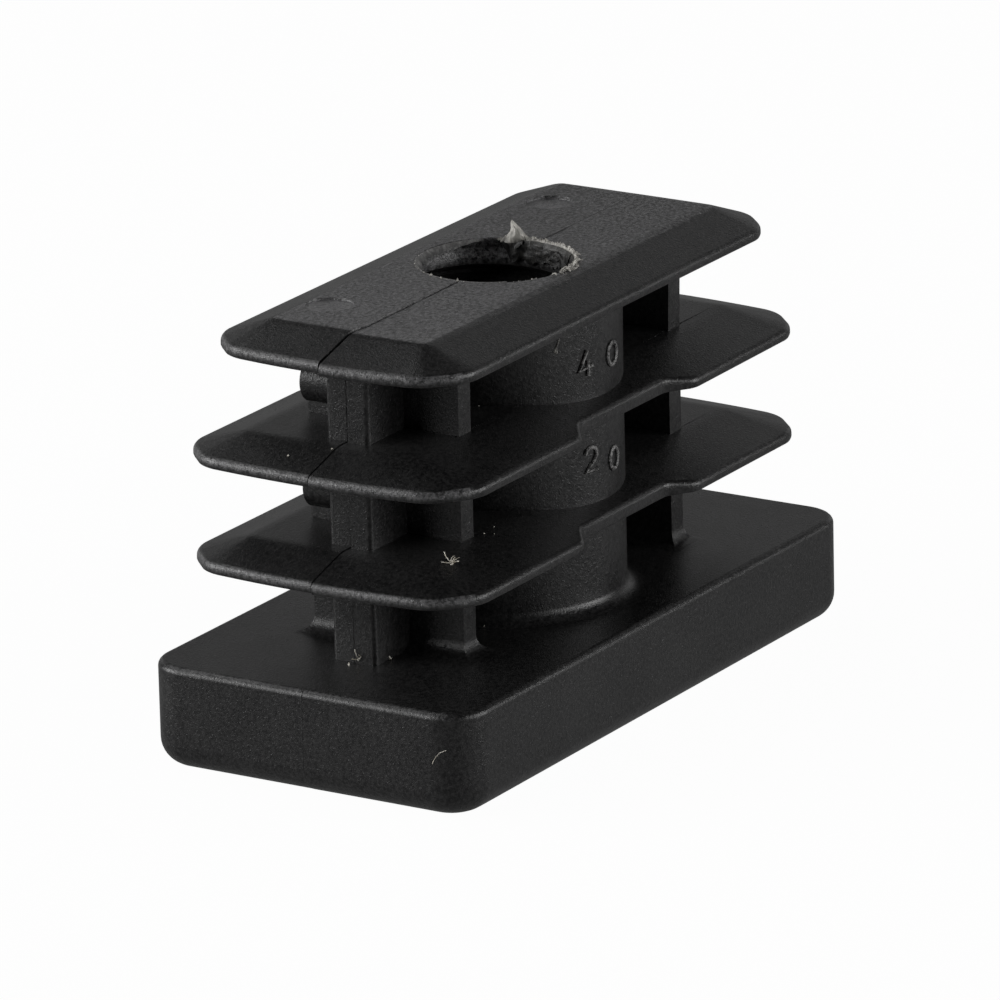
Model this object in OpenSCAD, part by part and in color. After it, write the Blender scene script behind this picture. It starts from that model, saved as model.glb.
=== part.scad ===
// Threaded end cap for a rectangular tube, moulded in one piece.
// A head closes the tube's end. A core of a round boss, a spine and two cross ribs stands on it and
// carries three thin fins that grip the inside of the tube. A threaded hole for a foot runs through.
// Z is up, along the thread, and X is along the head. The origin is the centre of the head's underside.

/* [Head] */
// Length of the head, the same as the tube's outside
head_l = 40; // [38:0.5:60]
// Width of the head, the same as the tube's outside
head_w = 20; // [19:0.5:40]
// Height of the head
head_h = 5.8; // [4:0.1:10]
// Radius of the head's upright corners
head_corner_r = 2.3; // [1.7:0.1:4]
// Radius of the edge round the head's underside
head_lower_r = 1.5; // [0.4:0.1:1.6]
// Radius of the edge round the head's shoulder
head_upper_r = 0.4; // [0.2:0.1:1]

/* [Fins] */
// Length of the lower two fins
fin_l = 37.4; // [33:0.1:38]
// Width of the lower two fins
fin_w = 17.8; // [16.5:0.1:18.5]
// Length of the top fin, shorter so that it enters the tube first
lead_fin_l = 34.8; // [32:0.1:36.5]
// Width of the top fin
lead_fin_w = 15.5; // [15:0.1:17.5]
// Run of the cut across each corner of a fin, along both of its sides
fin_cut = 2.4; // [1.5:0.1:3.5]
// Radius of the turns at both ends of that cut
fin_turn_r = 1.5; // [0.5:0.1:2]
// How far the short ends of a fin bow outwards
fin_bow = 0.3; // [0.1:0.05:0.8]
// Height of the upright rim of a fin
rim_h = 0.6; // [0.4:0.05:1]
// Bevel that breaks the edges of the rim
rim_break = 0.15; // [0.05:0.01:0.18]
// Length of the flat on top of a fin
flat_l = 29; // [22:0.1:30]
// Width of the flat on top of a fin
flat_w = 9.7; // [6:0.1:11]
// Height of the lower fins from underside to flat
fin_rise = 1.46; // [1.1:0.02:2]
// Height of the top fin from underside to flat
lead_fin_rise = 1.64; // [1.1:0.02:2.4]
// Clear height between the head and the lowest fin
first_gap = 4.88; // [3.5:0.02:8]
// Height from one fin to the next
fin_pitch = 5.78; // [4.5:0.02:9]
// Length of the relief at the middle of each long side of the lower fins
relief_l = 8.9; // [4:0.1:12]
// Depth of that relief
relief_depth = 1.05; // [0.4:0.05:1.3]
// Run of the slanted ends of that relief
relief_run = 1.4; // [0.4:0.1:2.5]

/* [Core] */
// Diameter of the round boss
boss_d = 13.6; // [12.4:0.1:14.4]
// Length of the spine
spine_l = 29.6; // [26:0.1:31]
// Thickness of the spine
spine_t = 2.7; // [1.6:0.1:4]
// Radius of the spine's upright edges
spine_edge_r = 0.25; // [0.1:0.05:0.6]
// Distance between the middles of the cross ribs
rib_span = 21.4; // [18:0.1:24]
// Length of a cross rib
rib_l = 9.4; // [7:0.1:11]
// Thickness of a cross rib
rib_t = 1.2; // [0.8:0.1:2]
// Radius of the fillet where the boss and the cross ribs stand on the head
foot_r = 0.9; // [0.3:0.05:1.2]
// Diameter of the round pads on the cross ribs, where the ejector pins push
pad_d = 2.5; // [1.8:0.1:3.6]
// How far a pad stands out past the end of its rib
pad_reach = 0.1; // [0.05:0.05:0.6]
// Drop from the underside of a fin to the middle of the pad below it
pad_drop = 2.6; // [2:0.05:3]

/* [Thread] */
// Bore that the thread is cut in
bore_d = 8.5; // [6.6:0.1:9]
// Depth of the lead-in at the underside
lead_in = 0.8; // [0.3:0.1:1.4]

/* [Hidden] */
plastic = "#26272a";

// Depth to which joined forms run into each other
sink = 0.3;
// Clearance of a cutter past the form that it cuts
clear = 1;
// Steps of a turn of a fin's corner, and of its bowed end
turn_steps = 4;
bow_steps = 8;
// Run from the end of a corner's cut to the start of its turn
turn_run = fin_turn_r * tan(22.5);

fin_count = 3;
lead = fin_count - 1;
function fin_z(i) = head_h + first_gap + i * fin_pitch;
total_h = fin_z(lead) + lead_fin_rise;
core_top = fin_z(lead) + rim_h;

$fn = 96;

// Section of the head across a width, rounded at its lower and upper edges
module head_section(width) {
    below = width / 2 - head_lower_r;
    above = width / 2 - head_upper_r;
    translate([-below, 0])
        square([2 * below, head_h]);
    translate([-above, head_lower_r])
        square([2 * above, head_h - head_lower_r]);
    translate([-width / 2, head_lower_r])
        square([width, head_h - head_lower_r - head_upper_r]);
    for (side = [-1, 1]) {
        translate([side * below, head_lower_r])
            circle(head_lower_r);
        translate([side * above, head_h - head_upper_r])
            circle(head_upper_r);
    }
}

// Round corner of the head, turned from the outer half of its section
module head_corner() {
    rotate_extrude()
        intersection() {
            head_section(2 * head_corner_r);
            square([head_corner_r, head_h]);
        }
}

module head() {
    along = head_l - 2 * head_corner_r;
    across = head_w - 2 * head_corner_r;
    rotate([90, 0, 90])
        linear_extrude(along, center = true)
            head_section(head_w);
    rotate([90, 0, 0])
        linear_extrude(across, center = true)
            head_section(head_l);
    for (x = [-1, 1], y = [-1, 1])
        translate([x * along / 2, y * across / 2, 0])
            head_corner();
}

// Outline of a fin's rim: cut corners with rounded turns, straight long sides and bowed ends
function turn_arc(middle, r, start) =
    [for (k = [0 : turn_steps])
        let (a = start + 45 * k / turn_steps)
        middle + r * [cos(a), sin(a)]];

function rim_corner(l, w, inset, turn) =
    let (
        x = (turn == 0 || turn == 3 ? 1 : -1),
        y = (turn < 2 ? 1 : -1),
        at_end = [x * (l / 2 - fin_bow - fin_turn_r), y * (w / 2 - fin_cut - turn_run)],
        at_side = [x * (l / 2 - fin_bow - fin_cut - turn_run), y * (w / 2 - fin_turn_r)],
        middles = turn % 2 == 0 ? [at_end, at_side] : [at_side, at_end],
        r = fin_turn_r - inset
    )
    concat(turn_arc(middles[0], r, 90 * turn), turn_arc(middles[1], r, 90 * turn + 45));

function rim_end(l, w, inset, side) =
    [for (k = [1 : bow_steps - 1])
        let (s = 2 * k / bow_steps - 1)
        [side * (l / 2 - inset - fin_bow * s * s), side * s * (w / 2 - fin_cut - turn_run)]];

function rim_outline(l, w, inset) = concat(
    rim_end(l, w, inset, 1),
    rim_corner(l, w, inset, 0),
    rim_corner(l, w, inset, 1),
    rim_end(l, w, inset, -1),
    rim_corner(l, w, inset, 2),
    rim_corner(l, w, inset, 3)
);

// One level of the rim, drawn in from its full outline
module rim_level(l, w, inset, low, high) {
    translate([0, 0, low])
        linear_extrude(high - low)
            polygon(rim_outline(l, w, inset));
}

// Fin with an upright rim and a top that slopes up to a flat
module fin(l, w, rise) {
    hull() {
        rim_level(l, w, rim_break, 0, rim_h);
        rim_level(l, w, 0, rim_break, rim_h - rim_break);
        translate([-flat_l / 2, -flat_w / 2, 0])
            cube([flat_l, flat_w, rise]);
    }
}

// Cutter for the relief in a long side of a fin, from its slanted ends outwards
module relief(w, rise) {
    floor_y = w / 2 - relief_depth;
    mouth_y = w / 2 + clear;
    mouth_x = relief_l / 2 + relief_run * (mouth_y - floor_y) / relief_depth;
    translate([0, 0, -clear])
        linear_extrude(rise + 2 * clear)
            polygon([
                [-relief_l / 2, floor_y],
                [relief_l / 2, floor_y],
                [mouth_x, mouth_y],
                [-mouth_x, mouth_y]
            ]);
}

module lower_fin() {
    difference() {
        fin(fin_l, fin_w, fin_rise);
        for (side = [0, 1])
            mirror([0, side, 0])
                relief(fin_w, fin_rise);
    }
}

module fins() {
    for (i = [0 : lead - 1])
        translate([0, 0, fin_z(i)])
            lower_fin();
    translate([0, 0, fin_z(lead)])
        fin(lead_fin_l, lead_fin_w, lead_fin_rise);
}

// Section of a wall's foot: as wide as the wall, with a hollow fillet on each side
module foot_section(thickness) {
    difference() {
        translate([-thickness / 2 - foot_r, -sink])
            square([thickness + 2 * foot_r, sink + foot_r]);
        for (side = [-1, 1])
            translate([side * (thickness / 2 + foot_r), foot_r])
                circle(foot_r);
    }
}

// Foot along the two sides of an upright wall that runs along X
module side_foot(along_x, thickness) {
    translate([0, 0, head_h])
        rotate([90, 0, 90])
            linear_extrude(along_x, center = true)
                foot_section(thickness);
}

// Turned foot of a round wall, and of a square corner where the radius is 0
module turned_foot(r) {
    translate([0, 0, head_h])
        rotate_extrude()
            difference() {
                translate([0, -sink])
                    square([r + foot_r, sink + foot_r]);
                translate([r + foot_r, foot_r])
                    circle(foot_r);
            }
}

module boss() {
    translate([0, 0, head_h - sink])
        cylinder(d = boss_d, h = core_top - head_h + sink);
    turned_foot(boss_d / 2);
}

// Plan of the spine, with its upright edges rounded
module spine_plan() {
    square([spine_l - 2 * spine_edge_r, spine_t], center = true);
    square([spine_l, spine_t - 2 * spine_edge_r], center = true);
    for (x = [-1, 1], y = [-1, 1])
        translate([x * (spine_l / 2 - spine_edge_r), y * (spine_t / 2 - spine_edge_r)])
            circle(spine_edge_r);
}

module spine() {
    translate([0, 0, head_h - sink])
        linear_extrude(core_top - head_h + sink)
            spine_plan();
}

// Round pad along Y on the far end of a cross rib, under fin i
module ejector_pad(i) {
    translate([0, 0, fin_z(i) - pad_drop])
        rotate([-90, 0, 0])
            cylinder(d = pad_d, h = rib_l / 2 + pad_reach);
}

module cross_rib() {
    translate([-rib_t / 2, -rib_l / 2, head_h - sink])
        cube([rib_t, rib_l, core_top - head_h + sink]);
    side_foot(rib_t, rib_l);
    rotate([0, 0, 90])
        side_foot(rib_l, rib_t);
    for (x = [-1, 1], y = [-1, 1])
        translate([x * rib_t / 2, y * rib_l / 2, 0])
            turned_foot(0);
    for (i = [1 : lead])
        ejector_pad(i);
}

module bore() {
    translate([0, 0, -clear])
        cylinder(d = bore_d, h = total_h + 2 * clear);
    translate([0, 0, -clear])
        cylinder(d1 = bore_d + 2 * (lead_in + clear), d2 = bore_d, h = lead_in + clear);
}

module end_cap() {
    color(plastic)
        difference() {
            union() {
                head();
                fins();
                boss();
                spine();
                for (side = [-1, 1])
                    translate([side * rib_span / 2, 0, 0])
                        cross_rib();
            }
            bore();
        }
}

end_cap();
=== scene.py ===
"""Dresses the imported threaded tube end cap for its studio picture.

The cap is one black moulding: a head, a ribbed core with a threaded hole and three thin fins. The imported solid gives
its place and its outer sizes. This script models the same form with its softened edges, the cut thread, the line where
the two mould halves met, the raised size figures and the torn plastic and dust that the part carries.
Lengths are in millimetres until a piece is finished, when its mesh is brought to metres.
"""

from __future__ import annotations

import logging
import math
from dataclasses import dataclass, field
from enum import Enum
from random import Random
from typing import Iterable, Sequence

import bmesh
import bpy
from mathutils import Matrix, Vector, noise

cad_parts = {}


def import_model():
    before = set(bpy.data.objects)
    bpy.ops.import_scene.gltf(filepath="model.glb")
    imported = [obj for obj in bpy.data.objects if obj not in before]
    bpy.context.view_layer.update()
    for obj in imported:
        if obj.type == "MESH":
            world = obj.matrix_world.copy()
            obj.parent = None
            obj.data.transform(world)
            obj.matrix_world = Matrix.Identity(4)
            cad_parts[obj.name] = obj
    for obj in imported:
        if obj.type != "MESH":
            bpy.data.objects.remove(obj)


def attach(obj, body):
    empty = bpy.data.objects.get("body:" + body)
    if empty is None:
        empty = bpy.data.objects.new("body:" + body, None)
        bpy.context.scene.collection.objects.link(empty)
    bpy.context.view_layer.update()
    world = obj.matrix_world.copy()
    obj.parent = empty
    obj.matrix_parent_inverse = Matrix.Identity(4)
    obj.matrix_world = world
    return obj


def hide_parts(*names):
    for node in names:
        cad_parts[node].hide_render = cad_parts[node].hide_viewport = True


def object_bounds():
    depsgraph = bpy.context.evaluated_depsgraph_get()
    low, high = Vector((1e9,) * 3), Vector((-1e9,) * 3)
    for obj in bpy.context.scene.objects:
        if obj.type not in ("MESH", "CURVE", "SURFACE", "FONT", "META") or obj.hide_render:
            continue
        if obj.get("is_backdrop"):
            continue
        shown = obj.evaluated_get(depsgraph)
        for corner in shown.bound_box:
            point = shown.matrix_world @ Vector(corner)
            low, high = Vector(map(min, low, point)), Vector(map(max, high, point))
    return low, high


LOG = logging.getLogger("end_cap")

MM = 0.001
NODE = "end_cap"
BODY = "root"
UP = Vector((0.0, 0.0, 1.0))
TINY = 1e-4
# Mesh number for coarser grain and for the places where sheen, light and highlights are painted paler.
COARSE_AND_SHEEN = "coarse_and_sheen"


class Join(Enum):
    """How one solid is combined with others."""

    UNION = "UNION"
    CUT = "DIFFERENCE"


def _oval(steps: int) -> tuple[tuple[float, float], ...]:
    """Gives the points of an oval that fills the unit square."""
    turns = [math.tau * k / steps for k in range(steps + 1)]
    return tuple((0.5 + 0.5 * math.cos(a), 0.5 + 0.5 * math.sin(a)) for a in turns)


class Figure(Enum):
    """A size figure, as strokes on the unit square."""

    TWO = (((0.02, 0.74), (0.12, 0.92), (0.35, 1.0), (0.66, 0.98), (0.90, 0.84), (0.92, 0.62), (0.72, 0.42),
            (0.38, 0.22), (0.04, 0.0), (1.0, 0.0)),)
    FOUR = (((0.60, 1.0), (0.0, 0.26), (1.0, 0.36)), ((0.66, 0.62), (0.66, 0.0)))
    ZERO = (_oval(20),)
    NICK = (((1.0, 1.0), (0.86, 0.66), (0.40, 0.36), (0.46, 0.0)), ((0.40, 0.36), (0.0, 0.10)))


# Mesh helpers


def box_solid(size: Vector, centre: Vector) -> bmesh.types.BMesh:
    """Makes a rectangular block.

    Args:
        size: Lengths along the three axes.
        centre: Middle of the block.

    Returns:
        The block as a new bmesh.
    """
    bm = bmesh.new()
    bmesh.ops.create_cube(bm, size=1.0)
    bmesh.ops.scale(bm, vec=size, verts=bm.verts)
    bmesh.ops.translate(bm, vec=centre, verts=bm.verts)
    return bm


def round_edges(bm: bmesh.types.BMesh, edges: Iterable[bmesh.types.BMEdge], radius: float, segments: int) -> None:
    """Rounds edges of a solid.

    Args:
        bm: The solid.
        edges: The edges to round.
        radius: Width of the rounding on each face.
        segments: Steps of the rounding.
    """
    bmesh.ops.bevel(
        bm,
        geom=list(edges),
        offset=radius,
        offset_type="OFFSET",
        segments=segments,
        profile=0.5,
        affect="EDGES",
        clamp_overlap=False,
        material=-1,
    )


def upright_edges(bm: bmesh.types.BMesh) -> list[bmesh.types.BMEdge]:
    """Lists the edges that run along Z."""
    return [e for e in bm.edges if abs((e.verts[0].co - e.verts[1].co).normalized().z) > 0.99]


def level_edges(bm: bmesh.types.BMesh, z: float) -> list[bmesh.types.BMEdge]:
    """Lists the edges at a height that part a level face from an upright one."""
    found = []
    for edge in bm.edges:
        if all(abs(v.co.z - z) < TINY for v in edge.verts):
            level = [abs(f.normal.z) > 0.9 for f in edge.link_faces]
            if any(level) and not all(level):
                found.append(edge)
    return found


def slice_at(bm: bmesh.types.BMesh, point: Vector, normal: Vector, drop_above: bool = False) -> None:
    """Cuts the faces of a mesh along a plane.

    Args:
        bm: The mesh.
        point: A point of the plane.
        normal: The plane's normal.
        drop_above: Whether what lies on the normal's side is removed.
    """
    geom = list(bm.verts) + list(bm.edges) + list(bm.faces)
    bmesh.ops.bisect_plane(bm, geom=geom, dist=1e-6, plane_co=point, plane_no=normal, clear_outer=drop_above)


def turned_solid(profile: Sequence[tuple[float, float]], steps: int) -> bmesh.types.BMesh:
    """Turns an outline about Z and closes its ends.

    Args:
        profile: Radius and height of the outline's points, from one end to the other.
        steps: Facets of the full turn.

    Returns:
        The closed solid.
    """
    bm = bmesh.new()
    verts = [bm.verts.new((r, 0.0, z)) for r, z in profile]
    for a, b in zip(verts, verts[1:]):
        bm.edges.new((a, b))
    geom = list(bm.verts) + list(bm.edges)
    bmesh.ops.spin(bm, geom=geom, axis=UP, angle=math.tau, steps=steps, use_merge=True)
    close(bm)
    return bm


def close(bm: bmesh.types.BMesh) -> None:
    """Merges doubled points, fills open ends and turns the faces outwards."""
    bmesh.ops.remove_doubles(bm, verts=bm.verts, dist=TINY)
    bmesh.ops.holes_fill(bm, edges=[e for e in bm.edges if e.is_boundary])
    bmesh.ops.recalc_face_normals(bm, faces=bm.faces)


def extruded(bm: bmesh.types.BMesh, faces: list[bmesh.types.BMFace]) -> list[bmesh.types.BMFace]:
    """Extrudes faces in place.

    Args:
        bm: The mesh.
        faces: The faces to extrude. They are replaced by the new ones.

    Returns:
        The new faces, whose points the caller moves.
    """
    made = bmesh.ops.extrude_face_region(bm, geom=faces)["geom"]
    bmesh.ops.delete(bm, geom=faces, context="FACES")
    return [g for g in made if isinstance(g, bmesh.types.BMFace)]


def points_of(faces: Iterable[bmesh.types.BMFace]) -> set[bmesh.types.BMVert]:
    """Gathers the points of faces."""
    return {vert for face in faces for vert in face.verts}


def shifted(bm: bmesh.types.BMesh, move: Vector) -> bmesh.types.BMesh:
    """Moves a solid and hands it back."""
    bmesh.ops.translate(bm, vec=move, verts=bm.verts)
    return bm


def joined(solids: Iterable[bmesh.types.BMesh]) -> bmesh.types.BMesh:
    """Gathers solids in one bmesh, without merging them, and frees them."""
    gathered = bmesh.new()
    for solid in solids:
        mesh = bpy.data.meshes.new("part")
        solid.to_mesh(mesh)
        solid.free()
        gathered.from_mesh(mesh)
        bpy.data.meshes.remove(mesh)
    return gathered


def mesh_object(name: str, bm: bmesh.types.BMesh) -> bpy.types.Object:
    """Puts a bmesh into a new object of the scene and frees it."""
    mesh = bpy.data.meshes.new(name)
    bm.to_mesh(mesh)
    bm.free()
    obj = bpy.data.objects.new(name, mesh)
    bpy.context.scene.collection.objects.link(obj)
    return obj


def combine(base: bmesh.types.BMesh, tools: Sequence[bmesh.types.BMesh], how: Join) -> bmesh.types.BMesh:
    """Joins solids to a base, or cuts them from it.

    Args:
        base: The solid that is kept. It is freed.
        tools: The solids that are joined or cut away. They are freed.
        how: Whether to join or to cut.

    Returns:
        The combined solid as a new bmesh.
    """
    kept = mesh_object("base", base)
    others = [mesh_object(f"tool_{k}", tool) for k, tool in enumerate(tools)]
    for other in others:
        step = kept.modifiers.new(other.name, "BOOLEAN")
        step.solver = "MANIFOLD"
        step.operation = how.value
        step.object = other
    graph = bpy.context.evaluated_depsgraph_get()
    made = bpy.data.meshes.new_from_object(kept.evaluated_get(graph))
    result = bmesh.new()
    result.from_mesh(made)
    for obj in [kept, *others]:
        mesh = obj.data
        bpy.data.objects.remove(obj)
        bpy.data.meshes.remove(mesh)
    bpy.data.meshes.remove(made)
    return result


def finish_piece(name: str, bm: bmesh.types.BMesh, finish: "Finish", crease_deg: float = 32.0) -> bpy.types.Object:
    """Brings a mesh to metres, shades and dresses it and hangs it on the cap's body.

    Args:
        name: The piece's name.
        bm: Its mesh, in millimetres. It is freed.
        finish: What the piece is finished in.
        crease_deg: Angle above which an edge is shaded as a crease.

    Returns:
        The finished object.
    """
    limit = math.radians(crease_deg)
    for face in bm.faces:
        face.smooth = True
    for edge in bm.edges:
        if edge.is_manifold and edge.calc_face_angle(0.0) > limit:
            edge.smooth = False
    bmesh.ops.scale(bm, vec=Vector((MM, MM, MM)), verts=bm.verts)
    obj = mesh_object(name, bm)
    obj.data.materials.append(finish.material())
    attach(obj, BODY)
    LOG.info("%s: %d faces", name, len(obj.data.polygons))
    return obj


# Shader expressions


class Value:
    """A number on a shader socket that takes part in Python expressions."""

    def __init__(self, shader: "Shader", socket: bpy.types.NodeSocket) -> None:
        """Wraps a socket of a shader."""
        self.shader = shader
        self.socket = socket

    def math(self, operation: str, *others: "Value | float") -> "Value":
        """Adds a Math node that starts from this value.

        Args:
            operation: The Math node's operation.
            others: The node's other inputs.

        Returns:
            The node's result.
        """
        return self.shader.maths(operation, self, *others)

    def __add__(self, other: "Value | float") -> "Value":
        """Adds a value."""
        return self.math("ADD", other)

    __radd__ = __add__

    def __mul__(self, other: "Value | float") -> "Value":
        """Multiplies by a value."""
        return self.math("MULTIPLY", other)

    __rmul__ = __mul__

    def __sub__(self, other: "Value | float") -> "Value":
        """Takes a value away."""
        return self.math("SUBTRACT", other)

    def __rsub__(self, other: "Value | float") -> "Value":
        """Is taken away from a value."""
        return self.shader.maths("SUBTRACT", other, self)

    def clamp(self, low: float, high: float) -> "Value":
        """Maps the span from low to high to 0 to 1, and holds it there."""
        node = self.shader.add(
            "ShaderNodeMapRange", {"clamp": True}, {"Value": self, "From Min": low, "From Max": high}
        )
        return Value(self.shader, node.outputs["Result"])


Input = "Value | bpy.types.NodeSocket | float | Sequence[float]"


class Shader:
    """A node tree under construction."""

    def __init__(self, tree: bpy.types.NodeTree) -> None:
        """Starts an empty tree."""
        self.tree = tree
        tree.nodes.clear()

    def add(self, kind: str, settings: dict | None = None, sockets: dict | None = None) -> bpy.types.Node:
        """Adds a node.

        Args:
            kind: The node's type.
            settings: Its settings, set first. A ramp's stops are given as (place, colour) pairs under "stops".
            sockets: Values or links of its inputs, by name or number.

        Returns:
            The node.
        """
        node = self.tree.nodes.new(kind)
        for key, value in (settings or {}).items():
            if key == "stops":
                self._set_stops(node.color_ramp, value)
            else:
                setattr(node, key, value)
        for key, value in (sockets or {}).items():
            socket = node.inputs[key]
            if isinstance(value, Value):
                self.tree.links.new(value.socket, socket)
            elif isinstance(value, bpy.types.NodeSocket):
                self.tree.links.new(value, socket)
            else:
                socket.default_value = value
        return node

    @staticmethod
    def _set_stops(ramp: bpy.types.ColorRamp, stops: Sequence[tuple[float, Sequence[float]]]) -> None:
        """Gives a ramp its stops."""
        while len(ramp.elements) < len(stops):
            ramp.elements.new(0.5)
        for element, (place, colour) in zip(ramp.elements, stops):
            element.position = place
            element.color = colour

    def maths(self, operation: str, *inputs: "Value | float") -> Value:
        """Adds a Math node and gives its result."""
        node = self.add("ShaderNodeMath", {"operation": operation}, dict(enumerate(inputs)))
        return Value(self, node.outputs[0])

    def blend(self, factor: "Value", low: Input, high: Input) -> bpy.types.NodeSocket:
        """Mixes two colours by a value."""
        node = self.add("ShaderNodeMix", {"data_type": "RGBA"}, {0: factor, 6: low, 7: high})
        return node.outputs[2]

    def attribute(self, name: str) -> Value:
        """Reads a number that the mesh carries."""
        return Value(self, self.add("ShaderNodeAttribute", {"attribute_name": name}).outputs["Fac"])

    def place(self) -> bpy.types.NodeSocket:
        """Gives the piece's own coordinates, in metres."""
        return self.add("ShaderNodeTexCoord").outputs["Object"]

    def axis(self, place: bpy.types.NodeSocket, name: str) -> Value:
        """Takes one coordinate."""
        return Value(self, self.add("ShaderNodeSeparateXYZ", {}, {"Vector": place}).outputs[name])

    def grain(self, place: bpy.types.NodeSocket, per_mm: float, detail: float = 2.0, rough: float = 0.5) -> Value:
        """Adds a noise of so many cells in a millimetre."""
        node = self.add(
            "ShaderNodeTexNoise",
            {},
            {"Vector": place, "Scale": per_mm / MM, "Detail": detail, "Roughness": rough},
        )
        return Value(self, node.outputs["Fac"])

    def stretched(self, place: bpy.types.NodeSocket, scale: Sequence[float]) -> bpy.types.NodeSocket:
        """Scales coordinates along each axis."""
        node = self.add("ShaderNodeMapping", {}, {"Vector": place, "Scale": scale})
        return node.outputs["Vector"]

    def bump(self, height: Value, depth_mm: float, strength: float = 1.0) -> bpy.types.NodeSocket:
        """Turns a height into a normal."""
        node = self.add("ShaderNodeBump", {}, {"Height": height, "Distance": depth_mm * MM, "Strength": strength})
        return node.outputs["Normal"]

    def surface(self, sockets: dict) -> None:
        """Ends the tree in a principled surface with the given inputs."""
        node = self.add("ShaderNodeBsdfPrincipled", {}, sockets)
        self.add("ShaderNodeOutputMaterial", {}, {"Surface": node.outputs[0]})


def colour(red: float, green: float, blue: float) -> tuple[float, float, float, float]:
    """Makes an opaque colour."""
    return (red, green, blue, 1.0)


class Finish:
    """A finish, which makes its material once."""

    name = "finish"

    def material(self) -> bpy.types.Material:
        """Gives the finish's material, and makes it the first time."""
        made = bpy.data.materials.get(self.name)
        if made is None:
            made = bpy.data.materials.new(self.name)
            made.use_nodes = True
            self.draw(Shader(made.node_tree))
        return made

    def draw(self, shader: Shader) -> None:
        """Draws the finish's nodes."""
        raise NotImplementedError


@dataclass(frozen=True)
class MouldedPolyethylene(Finish):
    """Black polyethylene with the fine grain of a spark-eroded mould."""

    name: str = "moulded_polyethylene"
    deep: tuple = colour(0.0030, 0.0031, 0.0034)
    pale: tuple = colour(0.0290, 0.0286, 0.0286)
    painted_sheen: tuple = colour(0.19, 0.188, 0.192)
    roughness: float = 0.27
    roughness_spread: float = 0.12
    grain_depth: float = 0.016

    def draw(self, shader: Shader) -> None:
        """Draws the grain, the cloudy gloss, the changes of black, and the coarser top face with its painted sheen,
        lighter towards −X, and the other painted highlights.
        """
        place = shader.place()
        coarse_and_sheen = shader.attribute(COARSE_AND_SHEEN)
        # top: the marked places that are painted paler, as sheen, light and highlights.
        top = coarse_and_sheen.clamp(0.0, 1.0)
        # pins: the pin marks, painted palest as a highlight.
        pins = coarse_and_sheen.clamp(1.0, 2.0)
        fine = shader.grain(place, 9.0, 2.0, 0.7)
        cloud = shader.grain(place, 0.35, 3.0, 0.55)
        speck = shader.grain(place, 6.0, 2.0, 0.7).clamp(0.54, 0.70)
        mottle = shader.grain(place, 4.6, 3.0, 0.75)
        tint = mottle.clamp(0.38, 0.62) * 0.8 + cloud.clamp(0.3, 0.7) * 0.2
        # The painted sheen is lighter towards −X and darker towards +X, speckled by the grain.
        along = shader.axis(place, "X").clamp(-14.0 * MM, 14.0 * MM)
        sheen_strength = 0.14 - along * 0.26 + mottle.clamp(0.38, 0.62) * 0.72 + speck * 0.40
        # Share of the painted sheen colour over the black.
        sheen_share = top * sheen_strength + pins * (0.40 + speck * 0.5)
        gloss = self.roughness + self.roughness_spread * cloud - speck * 0.05
        height = (fine + mottle * 0.6 + speck * 0.5) * (1.0 + top * 0.8 + pins)
        black = shader.blend(tint, self.deep, self.pale)
        shader.surface(
            {
                "Base Color": shader.blend(sheen_share, black, self.painted_sheen),
                "Roughness": gloss,
                "Specular IOR Level": 0.5,
                "Normal": shader.bump(height, self.grain_depth),
            }
        )


@dataclass(frozen=True)
class TornPlastic(Finish):
    """Plastic that whitened where it tore."""

    name: str = "torn_plastic"
    dark: tuple = colour(0.05, 0.048, 0.045)
    white: tuple = colour(0.62, 0.60, 0.55)
    low: float = 0.45
    high: float = 0.70
    white_from: float = 23.62
    white_to: float = 24.10

    def draw(self, shader: Shader) -> None:
        """Draws the blotchy stress whitening."""
        place = shader.place()
        raised = shader.axis(place, "Z").clamp(self.white_from * MM, self.white_to * MM)
        fibre = shader.grain(shader.stretched(place, (1.0, 1.0, 0.25)), 7.0, 2.0, 0.6)
        patch = shader.grain(place, 2.2, 2.0, 0.6)
        blotch = ((fibre * 0.5 + patch * 0.5).clamp(self.low, self.high) * 0.7 + raised * 0.6).clamp(0.0, 1.0)
        shader.surface(
            {
                "Base Color": shader.blend(blotch, self.dark, self.white),
                "Roughness": 0.5,
                "Normal": shader.bump(shader.grain(place, 14.0), 0.02),
            }
        )


@dataclass(frozen=True)
class PaleDust(Finish):
    """Off-white dust and fibre."""

    name: str = "pale_dust"
    dull: tuple = colour(0.42, 0.38, 0.30)
    pale: tuple = colour(0.85, 0.82, 0.74)

    def draw(self, shader: Shader) -> None:
        """Draws dust that varies from buff to near white."""
        place = shader.place()
        shade = shader.grain(place, 4.0, 2.0).clamp(0.35, 0.6)
        shader.surface({"Base Color": shader.blend(shade, self.dull, self.pale), "Roughness": 0.8})


# The moulding


@dataclass
class Head:
    """The thick head that closes the tube's end."""

    length: float
    width: float
    height: float = 5.8
    corner_r: float = 2.3
    lower_r: float = 1.5
    upper_r: float = 0.4

    def build(self) -> bmesh.types.BMesh:
        """Makes the block with its rounded corners and edges."""
        size = Vector((self.length, self.width, self.height))
        bm = box_solid(size, UP * self.height / 2)
        round_edges(bm, upright_edges(bm), self.corner_r, 14)
        round_edges(bm, level_edges(bm, 0.0), self.lower_r, 10)
        round_edges(bm, level_edges(bm, self.height), self.upper_r, 5)
        return bm


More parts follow.
